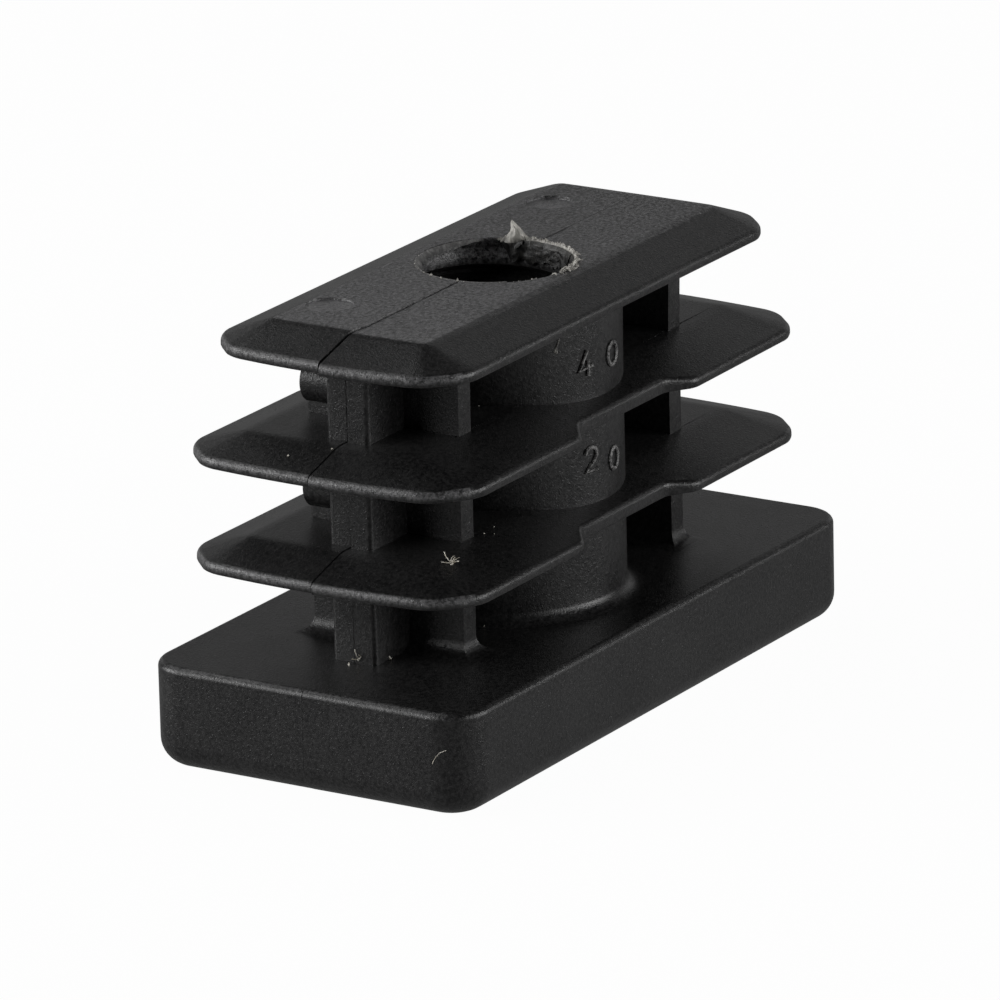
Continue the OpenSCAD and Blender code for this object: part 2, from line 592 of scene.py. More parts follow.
@dataclass
class Fin:
    """A thin fin with a rounded rim and a top that slopes up to a flat."""

    z: float
    length: float
    width: float
    rise: float
    relieved: bool
    curl: float = 0.0
    rim_h: float = 0.6
    rim_upper_r: float = 0.26
    rim_lower_r: float = 0.15
    cut: float = 2.0
    turn_r: float = 2.2
    bow: float = 0.3
    flat_l: float = 29.0
    flat_w: float = 9.7
    flat_shift: float = 0.0
    flat_corner_r: float = 0.4
    softness: float = 0.12
    relief_l: float = 8.9
    relief_depth: float = 1.05
    relief_run: float = 1.4
    relief_r: float = 0.35

    @property
    def side_run(self) -> float:
        """Run of the long sides' slope."""
        return (self.width - self.flat_w) / 2

    @property
    def turn_run(self) -> float:
        """Run from the end of a corner's cut to the start of its turn."""
        return self.turn_r * math.tan(math.pi / 8)

    def slope(self, side: float) -> float:
        """Rise of a long side's slope for each millimetre inwards."""
        return (self.rise - self.rim_h) / (self.side_run - math.copysign(self.flat_shift, side))

    @property
    def flat_z(self) -> float:
        """Height of the flat."""
        return self.z + self.rise

    def build(self) -> bmesh.types.BMesh:
        """Makes the fin with its relief, bowed ends, sloped top and rounded rim."""
        size = Vector((self.length - 2 * self.bow, self.width, self.rim_h))
        bm = box_solid(size, UP * self.rim_h / 2)
        round_edges(bm, upright_edges(bm), self.cut, 1)
        round_edges(bm, upright_edges(bm), self.turn_run, 6)
        self._bow_ends(bm)
        if self.relieved:
            self._relieve_sides(bm)
        self._raise_top(bm)
        rim = [e for e in bm.edges if sum(abs(f.normal.z) < 0.5 for f in e.link_faces) == 1]
        upper = {e for e in rim if max(v.co.z for v in e.verts) > self.rim_h / 2}
        round_edges(bm, upper, self.rim_upper_r, 5)
        rim = [e for e in bm.edges if all(abs(v.co.z) < TINY for v in e.verts) and not e.is_wire]
        lower = [e for e in rim if any(abs(f.normal.z) < 0.5 for f in e.link_faces)]
        round_edges(bm, lower, self.rim_lower_r, 2)
        bmesh.ops.dissolve_degenerate(bm, dist=TINY, edges=bm.edges)
        slice_at(bm, UP * (self.rim_h + 0.06), UP)
        for vert in bm.verts:
            out = max(vert.co.x, 0.0) / (self.length / 2)
            vert.co.z += self.curl * out * out * (1.0 + 0.4 * vert.co.y / self.width)
        return shifted(bm, UP * self.z)

    def _bow_ends(self, bm: bmesh.types.BMesh) -> None:
        """Bows the short ends outwards."""
        straight = self.width / 2 - self.cut - self.turn_run
        for k in range(-4, 5):
            slice_at(bm, Vector((0.0, straight * k / 5, 0.0)), Vector((0.0, 1.0, 0.0)))
        end = self.length / 2 - self.bow - TINY
        for vert in bm.verts:
            if abs(vert.co.x) > end:
                part = min(abs(vert.co.y) / straight, 1.0)
                vert.co.x += math.copysign(self.bow * (1.0 - part * part), vert.co.x)

    def _relieve_sides(self, bm: bmesh.types.BMesh) -> None:
        """Sets back the middle of the long sides, with slanted ends."""
        inner = self.relief_l / 2
        outer = inner + self.relief_run
        for x in (-outer, -inner, inner, outer):
            slice_at(bm, Vector((x, 0.0, 0.0)), Vector((1.0, 0.0, 0.0)))
        side = self.width / 2 - TINY
        for vert in bm.verts:
            if abs(vert.co.x) < inner + TINY and abs(vert.co.y) > side:
                if vert.co.z > TINY:
                    vert.co.z += self.slope(vert.co.y) * self.relief_depth
                vert.co.y -= math.copysign(self.relief_depth, vert.co.y)
        bm.normal_update()
        turns = [
            edge
            for edge in upright_edges(bm)
            if abs(edge.verts[0].co.x) < outer + TINY and edge.calc_face_angle(0.0) > 0.2
        ]
        round_edges(bm, turns, self.relief_r, 4)

    def _raise_top(self, bm: bmesh.types.BMesh) -> None:
        """Lofts the top in rings from the rim to the flat, whose edge it rounds."""
        bm.normal_update()
        top = bmesh.ops.dissolve_faces(bm, faces=[f for f in bm.faces if f.normal.z > 0.5])["region"]
        spot = bm.verts.layers.int.new("spot")
        rims = []
        for k, vert in enumerate(top[0].verts):
            vert[spot] = k
            rims.append(vert.co.copy())
        soft = self.softness
        for share in (1.0 - soft, 1.0 - soft / 2, 1.0, 1.0 + soft / 2, 1.0 + soft):
            top = extruded(bm, top)
            bend = share - 1.0 + soft
            height = self.rim_h + (self.rise - self.rim_h) * (share - bend * bend / (4 * soft))
            for vert in points_of(top):
                vert.co = self._ring_point(rims[vert[spot]], share)
                vert.co.z = height
        bmesh.ops.remove_doubles(bm, verts=bm.verts, dist=TINY)
        bm.normal_update()

    def _ring_point(self, rim: Vector, share: float) -> Vector:
        """Places a point of the loft.

        Args:
            rim: The point of the rim that it starts from.
            share: How far it is up the slope. It is 1 at the edge of the flat.

        Returns:
            Its place in plan.
        """
        full = rim.to_2d()
        if abs(rim.x) < self.length / 4:
            full.y = math.copysign(self.width / 2, rim.y)
        room = [size / 2 - self.flat_corner_r for size in (self.flat_l, self.flat_w)]
        middle = (0.0, self.flat_shift)
        hub = Vector([middle[i] + max(-room[i], min(room[i], full[i] - middle[i])) for i in (0, 1)])
        inset = max(share - 1.0, 0.0) * self.side_run
        edge = hub + (full - hub).normalized() * (self.flat_corner_r - inset)
        return full.lerp(edge, min(share, 1.0)).to_3d()


@dataclass
class Core:
    """The boss, spine and cross ribs that carry the fins."""

    foot_z: float
    top_z: float
    pad_zs: Sequence[float]
    boss_d: float = 13.6
    spine_l: float = 29.6
    spine_t: float = 2.7
    spine_edge_r: float = 0.25
    rib_span: float = 21.4
    rib_l: float = 9.4
    rib_t: float = 1.2
    foot_r: float = 0.9
    flare: tuple[float, float] = (0.85, 78.0)
    pad_d: float = 2.5
    pad_reach: float = 0.1
    sink: float = 0.3

    def build(self) -> list[bmesh.types.BMesh]:
        """Makes the solids of the core."""
        solids = [self._boss(), self._spine()]
        for side in (-1.0, 1.0):
            x = side * self.rib_span / 2
            solids.append(shifted(self._rib(), Vector((x, 0.0, 0.0))))
            solids += [self._pad(x, z) for z in self.pad_zs]
        return solids

    def _foot_steps(self, count: int) -> list[tuple[float, float]]:
        """Gives the spread and height of a hollow foot's steps, from its top down."""
        turns = [math.pi / 2 * k / count for k in range(count + 1)]
        return [
            (self.foot_r * (1.0 - math.cos(t)), self.foot_z + self.foot_r * (1.0 - math.sin(t))) for t in turns
        ]

    def _boss(self) -> bmesh.types.BMesh:
        """Makes the round boss, with a crease where its hollow foot begins."""
        radius = self.boss_d / 2
        flare_r, flare_deg = self.flare
        turns = [math.radians(flare_deg) * (6 - k) / 6 for k in range(7)]
        wide = radius + flare_r * math.sin(turns[0])
        foot = [(wide - flare_r * math.sin(a), self.foot_z + flare_r * (1.0 - math.cos(a))) for a in turns]
        return turned_solid([(radius, self.top_z), *foot, (wide, self.foot_z - self.sink)], 144)

    def _block(self, size_x: float, size_y: float, low: float) -> bmesh.types.BMesh:
        """Makes an upright block from a height up to the core's top."""
        height = self.top_z - low
        return box_solid(Vector((size_x, size_y, height)), UP * (low + height / 2))

    def _spine(self) -> bmesh.types.BMesh:
        """Makes the spine with its softened edges."""
        bm = self._block(self.spine_l, self.spine_t, self.foot_z - self.sink)
        round_edges(bm, upright_edges(bm), self.spine_edge_r, 3)
        return bm

    def _rib(self) -> bmesh.types.BMesh:
        """Makes a cross rib that spreads into a hollow foot."""
        steps = self._foot_steps(6)
        bm = self._block(self.rib_t, self.rib_l, steps[0][1])
        spread_before = steps[0][0]
        for spread, z in [*steps[1:], (self.foot_r, self.foot_z - self.sink)]:
            floor = min(bm.faces, key=lambda f: f.calc_center_median().z)
            for vert in points_of(extruded(bm, [floor])):
                vert.co.x += math.copysign(spread - spread_before, vert.co.x)
                vert.co.y += math.copysign(spread - spread_before, vert.co.y)
                vert.co.z = z
            spread_before = spread
        bmesh.ops.recalc_face_normals(bm, faces=bm.faces)
        return bm

    def _pad(self, x: float, z: float) -> bmesh.types.BMesh:
        """Makes a round ejector pad along Y on the far end of a rib."""
        reach = self.rib_l / 2 + self.pad_reach
        bm = bmesh.new()
        bmesh.ops.create_cone(
            bm, cap_ends=True, segments=48, radius1=self.pad_d / 2, radius2=self.pad_d / 2, depth=reach
        )
        bmesh.ops.rotate(bm, matrix=Matrix.Rotation(-math.pi / 2, 3, "X"), verts=bm.verts)
        return shifted(bm, Vector((x, reach / 2, z)))


@dataclass
class ThreadedHole:
    """The through hole with its cut thread."""

    height: float
    core_d: float = 8.5
    pitch: float = 1.5
    depth: float = 0.80
    crest: float = 0.375
    root: float = 0.19
    lead_in: float = 0.8
    rim_break: float = 0.04
    run_out: float = 1.2
    start_deg: float = 39.0
    steps: int = 96

    def build(self) -> list[bmesh.types.BMesh]:
        """Makes the cutters of the thread, of its lead-in and of the break at its rim."""
        return [self._screw(), self._lead_in(), self._worn_rim()]

    def _screw(self) -> bmesh.types.BMesh:
        """Makes the screw that the hole is the mould of."""
        core = self.core_d / 2
        flank = (self.pitch - self.crest - self.root) / 2
        turn = [
            (core, 0.0),
            (core, self.crest),
            (core + self.depth, self.crest + flank),
            (core + self.depth, self.crest + flank + self.root),
        ]
        spare = 3
        turns = math.ceil(self.height / self.pitch) + 2 * spare
        bm = bmesh.new()
        chain = []
        for k in range(turns):
            for r, z in turn:
                chain.append(bm.verts.new((r, 0.0, (k - spare) * self.pitch + z)))
        for a, b in zip(chain, chain[1:]):
            bm.edges.new((a, b))
        geom = list(bm.verts) + list(bm.edges)
        lift = UP * self.pitch / self.steps
        bmesh.ops.spin(bm, geom=geom, axis=UP, angle=math.tau, steps=self.steps, dvec=lift)
        bmesh.ops.remove_doubles(bm, verts=bm.verts, dist=TINY)
        bmesh.ops.rotate(bm, matrix=Matrix.Rotation(math.radians(self.start_deg), 3, "Z"), verts=bm.verts)
        for vert in bm.verts:
            out = Vector((vert.co.x, vert.co.y))
            kept = max(0.0, min(1.0, (self.height - vert.co.z) / self.run_out))
            out.length = core + (out.length - core) * kept
            vert.co.x, vert.co.y = out
        slice_at(bm, UP * (self.height + 1.0), UP, drop_above=True)
        slice_at(bm, -UP, -UP, drop_above=True)
        close(bm)
        return bm

    def _worn_rim(self) -> bmesh.types.BMesh:
        """Makes the cone that breaks the edge at the top."""
        core = self.core_d / 2
        wide = core + self.rim_break
        top = self.height
        return turned_solid([(wide + 1.0, top + 1.0), (wide, top), (core - 0.3, top - self.rim_break - 0.3)], 96)

    def _lead_in(self) -> bmesh.types.BMesh:
        """Makes the cone that opens the hole at the underside."""
        core = self.core_d / 2
        deep = core - 1.0
        wide = core + self.lead_in
        return turned_solid([(wide + 1.0, -1.0), (wide, 0.0), (deep, self.lead_in + 1.0)], 96)


@dataclass
class PartingLine:
    """The line where the two mould halves met, and how far they were out of line."""

    head_h: float
    lead_z: float
    top_z: float
    hole_r: float = 5.3
    half_width: float = 0.08
    head_ridge: float = 0.05
    ridge_fade: float = 1.5
    fin_depth: float = 0.07
    lead_depth: float = 0.50
    far_depth: float = 0.06
    head_slip: float = 0.02
    fin_slip: float = 0.18
    lead_drop: float = 0.08
    flat_sway: float = -0.4
    sway_from: float = 13.0
    sway_to: float = 16.8
    fade_x: float = 7.6

    def mark(self, bm: bmesh.types.BMesh) -> None:
        """Draws the line round the moulding and slips its front half.

        Args:
            bm: The moulding.
        """
        across = Vector((0.0, 1.0, 0.0))
        along = Vector((1.0, 0.0, 0.0))
        for x in (self.fade_x, -self.sway_from):
            slice_at(bm, along * x, along)
        for y in (-self.half_width, 0.0, self.half_width):
            slice_at(bm, across * y, across)
        bm.normal_update()
        out = [v for v in bm.verts if v.co.to_2d().length > self.hole_r or v.co.z > self.top_z - TINY]
        near = [v for v in out if abs(v.co.y) < self.half_width + TINY]
        front = [v for v in out if v.co.y < -TINY and v.co.to_2d().length > self.hole_r]
        dips = {v: v.normal * self._depth(v.co) for v in near if abs(v.co.y) < TINY}
        sways = {v: self._sway(v.co) for v in near}
        for vert in front:
            part = self._shown(vert.co)
            if vert.co.z > self.lead_z - TINY:
                vert.co.z -= self.lead_drop * part
            on_head = vert.co.z < self.head_h + TINY
            vert.co.x -= self.head_slip if on_head else self.fin_slip * part
        coarse_and_sheen = bm.verts.layers.float[COARSE_AND_SHEEN]
        # The line's middle points get no painted sheen, so the groove is painted darker than the flat round it.
        for vert, dip in dips.items():
            vert.co -= dip
            vert[coarse_and_sheen] = 0.0
        for vert, sway in sways.items():
            vert.co.y += sway

    def _shown(self, place: Vector) -> float:
        """Gives the share of the slip at a place. On the top fin it fades out behind the hole."""
        if place.z < self.lead_z - TINY:
            return 1.0
        return max(0.0, min(1.0, (self.fade_x - place.x) / self.fade_x))

    def _depth(self, place: Vector) -> float:
        """Gives the depth of the line at a place, below zero where it stands proud."""
        if place.z < self.head_h - TINY:
            return -self.head_ridge * min(1.0, place.z / self.ridge_fade)
        if place.z < self.head_h + TINY:
            return 0.0
        if place.z < self.lead_z:
            return self.fin_depth
        if place.x > self.fade_x - TINY:
            return 0.0
        return self.lead_depth if place.x < 0.0 else self.far_depth

    def _sway(self, place: Vector) -> float:
        """Gives how far the line strays from the middle on the top fin."""
        if place.z < self.lead_z + 0.5:
            return 0.0
        if place.x > 0.0:
            return self.flat_sway / 2
        part = (self.sway_to + place.x) / (self.sway_to - self.sway_from)
        return self.flat_sway * max(0.0, min(1.0, part))


@dataclass
class PinMark:
    """A round mark that an ejector pin left, deepest on its far side."""

    x: float
    y: float
    diameter: float = 2.6
    depth: float = 0.13
    tilt_deg: float = 3.0
    away_deg: float = 32.0

    def cutter(self, top: float) -> bmesh.types.BMesh:
        """Makes the disc that cuts the mark.

        Args:
            top: Height of the face that it is in.

        Returns:
            The cutter.
        """
        bm = bmesh.new()
        radius = self.diameter / 2
        bmesh.ops.create_cone(bm, cap_ends=True, segments=64, radius1=radius, radius2=radius, depth=1.0)
        bmesh.ops.translate(bm, vec=UP * 0.5, verts=bm.verts)
        away = Vector((math.cos(math.radians(self.away_deg)), math.sin(math.radians(self.away_deg)), 0.0))
        tilt = Matrix.Rotation(math.radians(self.tilt_deg), 3, UP.cross(away))
        bmesh.ops.rotate(bm, matrix=tilt, verts=bm.verts)
        lift = radius * math.sin(math.radians(self.tilt_deg)) - self.depth
        return shifted(bm, Vector((self.x, self.y, top + lift)))


@dataclass
class CapBody:
    """The whole moulding."""

    head: Head
    fins: Sequence[Fin]
    core: Core
    hole: ThreadedHole
    parting: PartingLine
    pin_marks: Sequence[PinMark] = (PinMark(-11.0, 3.4), PinMark(10.9, 3.2))

    def build(self, finish: Finish) -> bpy.types.Object:
        """Joins the moulding, cuts its hole and marks, and dresses it.

        Args:
            finish: What the moulding is made of.

        Returns:
            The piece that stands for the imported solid.
        """
        top = self.fins[-1].flat_z
        added = [*self.core.build(), *(fin.build() for fin in self.fins)]
        bm = combine(self.head.build(), added, Join.UNION)
        cutters = [*self.hole.build(), *(mark.cutter(top) for mark in self.pin_marks)]
        bm = combine(bm, cutters, Join.CUT)
        self._mark_coarse_and_sheen(bm, top)
        self.parting.mark(bm)
        bmesh.ops.recalc_face_normals(bm, faces=bm.faces)
        piece = finish_piece("moulded_cap", bm, finish)
        shading = piece.modifiers.new("even_shading", "WEIGHTED_NORMAL")
        shading.keep_sharp = True
        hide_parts(NODE)
        return piece

    def _mark_coarse_and_sheen(self, bm: bmesh.types.BMesh, top: float) -> None:
        """Notes where the grain is coarser and light is painted on: 1 on top, a painted sheen, and in the thread's
        mouth, painted light on the wall; 2 in the pin marks, a painted highlight; less on the −X end rims and
        shoulder, painted highlights.
        """
        coarse_and_sheen = bm.verts.layers.float.new(COARSE_AND_SHEEN)
        mouth = self.hole.core_d / 2 + self.hole.depth + 0.05
        for vert in bm.verts:
            # The top face is coarser and painted paler: a painted sheen.
            vert[coarse_and_sheen] = float(vert.co.z > top - 0.012)
            # The upper wall of the thread's mouth is painted paler: painted light where the lamps reach into the hole,
            # fading out 1.1 to 1.5 mm down.
            if math.hypot(vert.co.x, vert.co.y) < mouth:
                vert[coarse_and_sheen] = max(0.0, min(1.0, (vert.co.z - top + 1.5) / 0.4))
            # The fins' −X end rims are painted paler: painted highlights.
            for fin in self.fins:
                end = vert.co.x < -(fin.length / 2 - fin.bow - fin.cut)
                if end and 0.25 < vert.co.z - fin.z < fin.rim_h + 0.03:
                    vert[coarse_and_sheen] = 0.7
            # The head's −X shoulder edge is painted paler: a painted highlight.
            shoulder = 0.0 < self.head.height - vert.co.z - TINY < self.head.upper_r - 2 * TINY
            if shoulder and vert.co.x < self.head.upper_r - self.head.length / 2:
                vert[coarse_and_sheen] = 0.3
            # The pin marks' floors are coarser and painted palest: a painted highlight.
            for mark in self.pin_marks:
                off = math.hypot(vert.co.x - mark.x, vert.co.y - mark.y)
                if top - 0.3 < vert.co.z < top - 0.001 and off < mark.diameter / 2 + TINY:
                    vert[coarse_and_sheen] = 2.0


# Raised figures


@dataclass(frozen=True)
class SizeFigure:
    """One raised figure of the tube's size on the round boss."""

    figure: Figure
    from_deg: float
    to_deg: float
    low: float
    high: float
    stroke: float = 0.145

    def build(self, radius: float) -> bmesh.types.BMesh:
        """Makes the figure's strokes and bends them round the boss.

        Args:
            radius: Radius of the boss.

        Returns:
            The strokes, half sunk in the boss.
        """
        curve = bpy.data.curves.new("strokes", "CURVE")
        curve.dimensions = "3D"
        curve.bevel_depth = self.stroke
        curve.bevel_resolution = 3
        curve.use_fill_caps = True
        wide = math.radians(self.to_deg - self.from_deg) * radius - 2 * self.stroke
        tall = self.high - self.low - 2 * self.stroke
        for stroke in self.figure.value:
            line = curve.splines.new("POLY")
            line.points.add(len(stroke) - 1)
            for point, (u, v) in zip(line.points, stroke):
                point.co = (u * wide + self.stroke, v * tall + self.stroke, 0.0, 1.0)
        obj = bpy.data.objects.new("strokes", curve)
        bpy.context.scene.collection.objects.link(obj)
        graph = bpy.context.evaluated_depsgraph_get()
        mesh = bpy.data.meshes.new_from_object(obj.evaluated_get(graph))
        bm = bmesh.new()
        bm.from_mesh(mesh)
        bpy.data.objects.remove(obj)
        bpy.data.curves.remove(curve)
        bpy.data.meshes.remove(mesh)
        for vert in bm.verts:
            along, up, out = vert.co
            turn = math.radians(self.from_deg) + along / radius
            reach = radius + out
            vert.co = (reach * math.cos(turn), reach * math.sin(turn), self.low + up)
        return bm


@dataclass
class SizeFigures:
    """The tube's size, 40 over 20, on the boss."""

    boss_d: float
    slip: float
    sheen_from: float = 0.06
    figures: Sequence[SizeFigure] = (
        SizeFigure(Figure.FOUR, -109.4, -98.4, 18.74, 20.42),
        SizeFigure(Figure.ZERO, -89.2, -77.8, 18.79, 20.29),
        SizeFigure(Figure.TWO, -106.8, -96.4, 13.46, 15.05),
        SizeFigure(Figure.ZERO, -88.9, -78.6, 13.03, 14.49),
    )
    nick: SizeFigure = SizeFigure(Figure.NICK, -121.4, -117.8, 20.44, 21.54, 0.055)

    def build(self, finish: Finish) -> bpy.types.Object:
        """Makes the figures as one piece.

        Args:
            finish: What they are moulded in.

        Returns:
            The piece.
        """
        radius = self.boss_d / 2
        bm = joined(figure.build(radius) for figure in self.figures)
        coarse_and_sheen = bm.verts.layers.float.new(COARSE_AND_SHEEN)
        # The strokes' outer parts are painted paler: painted highlights on the raised figures.
        for vert in bm.verts:
            vert[coarse_and_sheen] = max(0.0, min(1.0, (vert.co.to_2d().length - radius) / self.sheen_from - 1.0))
        return finish_piece("size_figures", shifted(bm, Vector((-self.slip, 0.0, 0.0))), finish)

    def build_nick(self, finish: Finish) -> bpy.types.Object:
        """Makes the whitened nick beside the figures.

        Args:
            finish: What torn plastic looks like.

        Returns:
            The piece.
        """
        bm = self.nick.build(self.boss_d / 2)
        return finish_piece("nick", shifted(bm, Vector((-self.slip, 0.0, 0.0))), finish)


# Torn plastic and dust


def sheet(rows: Sequence[Sequence[Vector]], thick: float) -> bmesh.types.BMesh:
    """Makes a thin sheet through rows of points.

    Args:
        rows: The rows, with as many points in each.
        thick: Its thickness.

    Returns:
        The closed sheet.
    """
    bm = bmesh.new()
    grid = [[bm.verts.new(point) for point in row] for row in rows]
    for near, far in zip(grid, grid[1:]):
        for (a, b), (d, c) in zip(zip(near, near[1:]), zip(far, far[1:])):
            bm.faces.new((a, b, c, d))
    bm.normal_update()
    bmesh.ops.solidify(bm, geom=bm.faces[:], thickness=thick)
    bmesh.ops.recalc_face_normals(bm, faces=bm.faces)
    return bm


def ribbon(line: Sequence[Vector], widths: Sequence[float], across: Vector, thick: float) -> bmesh.types.BMesh:
    """Makes a thin strip along a line.

    Args:
        line: The points of its middle.
        widths: Its width at each point.
        across: Direction of its width.
        thick: Its thickness.

    Returns:
        The closed strip.
    """
    halves = [across.normalized() * max(width, 0.01) / 2 for width in widths]
    return sheet([(point - half, point + half) for point, half in zip(line, halves)], thick)


def crumb(place: Vector, size: float, rng: Random) -> bmesh.types.BMesh:
    """Makes a small uneven lump.

    Args:
        place: Its middle.
        size: Its mean radius.
        rng: The source of its unevenness.

    Returns:
        The lump.
    """
    bm = bmesh.new()
    bmesh.ops.create_icosphere(bm, subdivisions=2, radius=size)
    shift = Vector([rng.uniform(0.0, 50.0) for _ in range(3)])
    long_way = Vector([rng.uniform(-1.0, 1.0) for _ in range(3)]).normalized()
    for vert in bm.verts:
        vert.co *= 1.0 + 0.75 * noise.noise(vert.co / size * 1.1 + shift)
        vert.co += long_way * vert.co.dot(long_way) * 0.7
        vert.co *= 0.8
    return shifted(bm, place)


@dataclass
class TornRim:
    """Plastic that the thread cutter tore and pushed up round the hole, white where it stretched."""

    z: float
    radius: float = 4.27
    thick: float = 0.05
    least: float = 0.012
    seed: int = 11
    loose: Sequence[tuple[float, float]] = (
        (104.0, 0.035),
        (111.0, 0.04),
        (117.0, 0.03),
        (126.0, 0.045),
        (133.0, 0.03),
        (139.0, 0.04),
        (159.0, 0.08),
        (164.0, 0.03),
        (170.0, 0.075),
        (184.0, 0.08),
        (189.0, 0.04),
        (215.0, 0.045),
        (239.0, 0.05),
    )

    def build(self, finish: Finish) -> bpy.types.Object:
        """Makes the torn lip, the flake, the shreds and the crumbs as one piece.

        Args:
            finish: What torn plastic looks like.

        Returns:
            The piece.
        """
        rng = Random(self.seed)
        solids = [
            self._flake(),
            *self._lip(-92.0, 30.0, 0.05, 0.24, 0.2, 0.12),
            *self._lip(-75.0, 8.0, 0.03, 0.20, 1.0, 0.04),
            *self._lip(96.0, 268.0, -0.10, 0.10, 0.6, 0.05),
            *self._crumbs(rng),
        ]
        return finish_piece("torn_rim", joined(solids), finish, crease_deg=50.0)

    def build_wall(self, finish: Finish) -> bpy.types.Object:
        """Makes the torn right side of the hole's wall as a piece of its own.

        Args:
            finish: What plastic looks like that tore without whitening.

        Returns:
            The piece.
        """
        return finish_piece("torn_wall", joined(self._flaps()), finish, crease_deg=50.0)

    def build_skirt(self, finish: Finish) -> bpy.types.Object:
        """Makes the burr that the cutter drew in and down along the left of the rim.

        Args:
            finish: What the stretched plastic looks like.

        Returns:
            The piece.
        """
        rows = []
        for k in range(121):
            deg = 40.0 + 1.5 * k
            fade = min(1.0, k / 25, (120 - k) / 30)
            rough = 1.0 + 0.35 * noise.noise(Vector((deg * 0.12, 2.0, 0.0)))
            rough += 0.30 * noise.noise(Vector((deg * 0.55, 7.0, 0.0)))
            reach = 0.34 * fade * rough
            lump = 0.05 * noise.noise(Vector((deg * 0.4, 12.0, 0.0))) * fade
            rows.append(
                [
                    self._at(deg, self.radius + 0.05, self.z - 0.05),
                    self._at(deg, self.radius - 0.02 - 0.10 * reach, self.z - 0.01),
                    self._at(deg, self.radius - 0.02 - 0.45 * reach + lump, self.z - 0.03 - 0.28 * reach),
                    self._at(deg, self.radius - 0.02 - 0.80 * reach - lump, self.z - 0.05 - 0.65 * reach),
                    self._at(deg, self.radius - 0.02 - reach, self.z - 0.06 - reach),
                ]
            )
        return finish_piece("torn_skirt", sheet(rows, self.thick), finish, crease_deg=50.0)

    def _at(self, deg: float, radius: float, z: float) -> Vector:
        """Gives the place at an angle round the hole."""
        turn = math.radians(deg)
        return Vector((radius * math.cos(turn), radius * math.sin(turn), z))

    def _lip(
        self, start: float, end: float, low: float, high: float, lean: float, root: float
    ) -> list[bmesh.types.BMesh]:
        """Makes a ragged lip that stands up along part of the rim, in pieces where it is broken.

        Args:
            start: Angle where it begins, in degrees.
            end: Angle where it ends.
            low: Its least height.
            high: Its greatest height.
            lean: How far it leans outwards for each millimetre of height.
            root: How far it reaches down the wall.

        Returns:
            The lip's pieces.
        """
        runs: list[list[list[Vector]]] = [[]]
        steps = int((end - start) / 0.45)
        for k in range(steps + 1):
            deg = start + (end - start) * k / steps
            rough = 0.45 + 0.7 * noise.noise(Vector((deg * 0.11, high * 40.0, 3.0)))
            rough += 0.9 * noise.noise(Vector((deg * 1.9, high * 40.0, 9.0)))
            fade = min(1.0, k / 9, (steps - k) / 9)
            tall = max(0.0, low + (high - low) * max(0.0, min(1.0, rough))) * fade
            if tall < self.least:
                runs.append([])
                continue
            deep = root * min(1.0, tall / high * 2.0)
            bend = 0.6 * noise.noise(Vector((deg * 1.1, 1.0, high * 20.0)))
            runs[-1].append(
                [
                    self._at(deg, self.radius - deep * 0.8, self.z - deep - 0.03),
                    self._at(deg, self.radius, self.z - 0.01),
                    self._at(deg, self.radius + (lean * 0.3 + bend) * tall, self.z + 0.7 * tall),
                    self._at(deg, self.radius + (lean + bend) * tall, self.z + tall),
                ]
            )
        return [sheet(run, self.thick) for run in runs if len(run) > 2]

    def _flake(self) -> bmesh.types.BMesh:
        """Makes the curled flake that stands on the far side of the rim."""
        rows = (
            (-0.14, -0.92, 0.78),
            (0.04, -0.80, 0.68),
            (0.18, -0.62, 0.50),
            (0.33, -0.48, 0.36),
            (0.48, -0.38, 0.27),
            (0.60, -0.34, 0.19),
            (0.71, -0.36, 0.08),
            (0.81, -0.36, -0.05),
            (0.90, -0.34, -0.17),
            (0.97, -0.32, -0.27),
        )
        columns = 11
        base = self._at(15.0, self.radius, self.z)
        right = Vector((0.53, -0.848, 0.0))
        near = Vector((-0.848, -0.53, 0.0))
        grid = []
        for k, (tall, left, end) in enumerate(rows):
            row = []
            for j in range(columns):
                u = j / (columns - 1)
                fibre = 0.02 * math.cos(j * math.pi) + 0.10 * noise.noise(Vector((j * 0.6, k * 0.3, 4.0)))
                curl = 0.24 * math.sin(math.pi * u) - 0.30 * tall * tall + fibre
                ragged = 0.05 * noise.noise(Vector((j * 1.3, k * 0.4, 8.0))) if k > 1 else 0.0
                row.append(base + right * (left + (end - left) * u) + near * curl + UP * (tall + ragged))
            grid.append(row)
        return sheet(grid, self.thick)

    def _flaps(self) -> list[bmesh.types.BMesh]:
        """Makes the torn, crumpled layers that hang on the right of the hole's wall."""
        layers = ((-64.0, 26.0, 0.03, 1.3, 1.0), (-46.0, 4.0, 0.08, 0.9, 21.0), (10.0, 22.0, 0.12, 0.6, 47.0))
        return [self._flap(*layer) for layer in layers]

    def _flap(self, start: float, end: float, off: float, length: float, shift: float) -> bmesh.types.BMesh:
        """Makes one crumpled layer.

        Args:
            start: Angle where it begins, in degrees.
            end: Angle where it ends.
            off: How far it stands off the wall.
            length: How far it hangs down.
            shift: Where its unevenness is taken from.

        Returns:
            The layer.
        """
        rows = []
        steps = int((end - start) / 1.5)
        for k in range(steps + 1):
            deg = start + (end - start) * k / steps
            fade = min(1.0, 0.25 + k / 6, 0.25 + (steps - k) / 6)
            reach = length * fade * (0.85 + 0.3 * noise.noise(Vector((deg * 0.13, shift, 0.0))))
            reach += 0.12 * noise.noise(Vector((deg * 0.5, shift, 5.0)))
            row = []
            for j in range(13):
                s = j / 12
                z = self.z - 0.04 - max(reach, 0.15) * s
                fold = noise.noise(Vector((deg * 0.16, z * 2.2, shift)))
                fold += 0.6 * noise.noise(Vector((deg * 0.4, z * 5.5, shift + 9.0)))
                row.append(self._at(deg, self.radius - 0.06 - (off + 0.06 + 0.09 * fold) * min(1.0, 4.0 * s), z))
            rows.append(row)
        return sheet(rows, self.thick)

